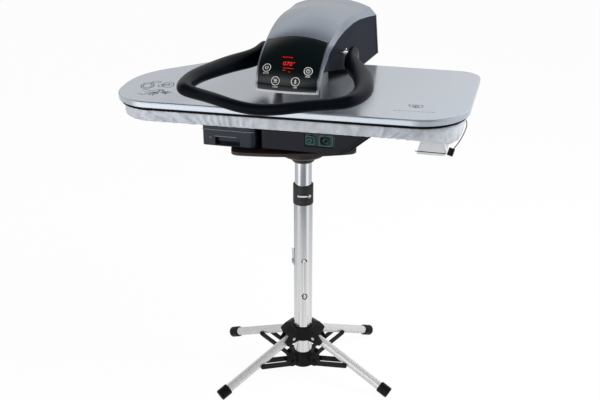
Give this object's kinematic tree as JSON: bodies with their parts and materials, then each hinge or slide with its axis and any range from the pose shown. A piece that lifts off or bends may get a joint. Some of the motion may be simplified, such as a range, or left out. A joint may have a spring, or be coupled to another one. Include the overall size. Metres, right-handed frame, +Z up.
{
  "type": "steam press on a stand",
  "caption": "Grey steam press with a padded silver board, a handle loop and a black head, on a telescopic stand with folding legs.",
  "frame": {"origin": "on the floor, where the stand's mast axis meets it", "axes": "+Z up along the mast; -Y is the front, where the control panel faces; +X is to the right of a person who faces the front"},
  "size_m": [1.0313, 0.9015, 1.1861],
  "materials": {
    "silver_metal": "satin",
    "steel": "satin",
    "chrome_trim": "polished",
    "cast_alloy": "satin",
    "black_plastic": "satin",
    "black_metal": "satin",
    "charcoal_plastic": "satin",
    "brown_metal": "satin",
    "grey_shell": "satin",
    "silver_band": "satin",
    "gloss_black": "gloss",
    "red_window": "gloss",
    "smoked_plastic": "gloss",
    "milky_plastic": "satin",
    "cover_paint": "satin",
    "silver_cloth": "matte",
    "foam": "matte",
    "cord": "matte",
    "black_rubber": "matte",
    "green_board": "satin",
    "copper": "satin"
  },
  "bodies": {
    "stand": {"lower_tube": "silver_metal", "mast_collar": "black_plastic", "tube_bush": "black_plastic", "catch_bracket": "steel", "lower_hub": "black_plastic"},
    "mast": {"upper_tube": "silver_metal", "guide_pin": "steel", "mast_flange": "cast_alloy", "support_plate": "brown_metal", "plate_bolts": "steel", "base_housing": "charcoal_plastic", "bottom_cover": "charcoal_plastic", "rubber_feet": "black_rubber", "switch_bezel": "black_plastic", "accessory_socket": "black_plastic", "steam_boiler": "copper", "water_pump": "black_plastic", "board_pan": "silver_metal", "pad_foam": "foam", "board_cover": "silver_cloth", "rest_bracket": "milky_plastic", "drawcord": "cord", "cord_lock": "black_plastic", "rear_column": "cast_alloy"},
    "catch": {"catch_lever": "steel"},
    "hub": {"upper_hub": "black_plastic", "hub_pins": "steel"},
    "leg_front_left": {"leg_front_left": "silver_metal", "foot_cap_front_left": "black_plastic"},
    "strut_front_left": {"strut_front_left": "black_metal"},
    "leg_front_right": {"leg_front_right": "silver_metal", "foot_cap_front_right": "black_plastic"},
    "strut_front_right": {"strut_front_right": "black_metal"},
    "leg_rear_left": {"leg_rear_left": "silver_metal", "foot_cap_rear_left": "black_plastic"},
    "strut_rear_left": {"strut_rear_left": "black_metal"},
    "leg_rear_right": {"leg_rear_right": "silver_metal", "foot_cap_rear_right": "black_plastic"},
    "strut_rear_right": {"strut_rear_right": "black_metal"},
    "press": {"heating_plate": "cast_alloy", "plate_insulation": "foam", "plate_cover": "cover_paint", "plate_bracket": "cast_alloy", "arm_frame": "steel", "arm_shell": "grey_shell", "side_cover_left": "charcoal_plastic", "side_cover_right": "charcoal_plastic", "head_base": "black_metal", "display_window": "red_window", "front_panel": "gloss_black", "panel_trim": "chrome_trim", "control_board": "green_board", "hinge_shaft": "steel"},
    "handle": {"handle_grip": "black_plastic", "handle_core": "steel", "handle_shaft": "steel"},
    "tank": {"water_tank": "smoked_plastic", "tank_lid": "smoked_plastic", "tank_valve": "black_plastic"},
    "button": {"power_button": "black_plastic"}
  },
  "joints": [
    {"name": "mast_slide", "type": "slide", "parent": "stand", "child": "mast", "axis": [0, 0, 1], "range_m": [0, 0.126]},
    {"name": "hub_slide", "type": "slide", "parent": "stand", "child": "hub", "axis": [0, 0, 1], "range_m": [0, 0.1]},
    {"name": "catch_swing", "type": "hinge", "parent": "stand", "child": "catch", "pos_m": [-0.03238, -0.00898, 0.412], "axis": [0.2672, -0.9636, 0], "range_deg": [0, 10], "stiffness_Nm_per_rad": 0.3},
    {"name": "leg_fold_front_left", "type": "hinge", "parent": "hub", "child": "leg_front_left", "pos_m": [-0.03243, -0.03539, 0.141], "axis": [0.7373, -0.6756, 0], "range_deg": [0, 22.6]},
    {"name": "strut_fold_front_left", "type": "hinge", "parent": "leg_front_left", "child": "strut_front_left", "pos_m": [-0.11221, -0.12246, 0.07718], "axis": [-0.7373, 0.6756, 0], "range_deg": [0, 55.2]},
    {"name": "leg_fold_front_right", "type": "hinge", "parent": "hub", "child": "leg_front_right", "pos_m": [0.04602, -0.01363, 0.141], "axis": [0.284, 0.9588, 0], "range_deg": [0, 22.6]},
    {"name": "strut_fold_front_right", "type": "hinge", "parent": "leg_front_right", "child": "strut_front_right", "pos_m": [0.15926, -0.04717, 0.07718], "axis": [-0.284, -0.9588, 0], "range_deg": [0, 55.2]},
    {"name": "leg_fold_rear_left", "type": "hinge", "parent": "hub", "child": "leg_rear_left", "pos_m": [-0.04368, 0.0199, 0.141], "axis": [-0.4147, -0.91, 0], "range_deg": [0, 22.6]},
    {"name": "strut_fold_rear_left", "type": "hinge", "parent": "leg_rear_left", "child": "strut_rear_left", "pos_m": [-0.15114, 0.06888, 0.07718], "axis": [0.4147, 0.91, 0], "range_deg": [0, 55.2]},
    {"name": "leg_fold_rear_right", "type": "hinge", "parent": "hub", "child": "leg_rear_right", "pos_m": [0.02719, 0.03956, 0.141], "axis": [-0.8241, 0.5664, 0], "range_deg": [0, 22.6]},
    {"name": "strut_fold_rear_right", "type": "hinge", "parent": "leg_rear_right", "child": "strut_rear_right", "pos_m": [0.09408, 0.13689, 0.07718], "axis": [0.8241, -0.5664, 0], "range_deg": [0, 55.2]},
    {"name": "press_open", "type": "hinge", "parent": "mast", "child": "press", "pos_m": [-0.004, 0.352, 1], "axis": [-1, 0, 0], "range_deg": [0, 45]},
    {"name": "handle_lift", "type": "hinge", "parent": "press", "child": "handle", "pos_m": [-0.004, 0.065, 1.084], "axis": [-1, 0, 0], "range_deg": [0, 40]},
    {"name": "tank_pull", "type": "slide", "parent": "mast", "child": "tank", "axis": [0, -1, 0], "range_m": [0, 0.12]},
    {"name": "power_press", "type": "slide", "parent": "mast", "child": "button", "axis": [0, 1, 0], "range_m": [0, 0.0025], "stiffness_N_per_m": 400}
  ],
  "couplings": [
    {"joint": "leg_fold_front_left", "follows": "hub_slide", "rad_per_m": 3.92},
    {"joint": "strut_fold_front_left", "follows": "hub_slide", "rad_per_m": 9.61},
    {"joint": "leg_fold_front_right", "follows": "hub_slide", "rad_per_m": 3.92},
    {"joint": "strut_fold_front_right", "follows": "hub_slide", "rad_per_m": 9.61},
    {"joint": "leg_fold_rear_left", "follows": "hub_slide", "rad_per_m": 3.92},
    {"joint": "strut_fold_rear_left", "follows": "hub_slide", "rad_per_m": 9.61},
    {"joint": "leg_fold_rear_right", "follows": "hub_slide", "rad_per_m": 3.92},
    {"joint": "strut_fold_rear_right", "follows": "hub_slide", "rad_per_m": 9.61}
  ]
}
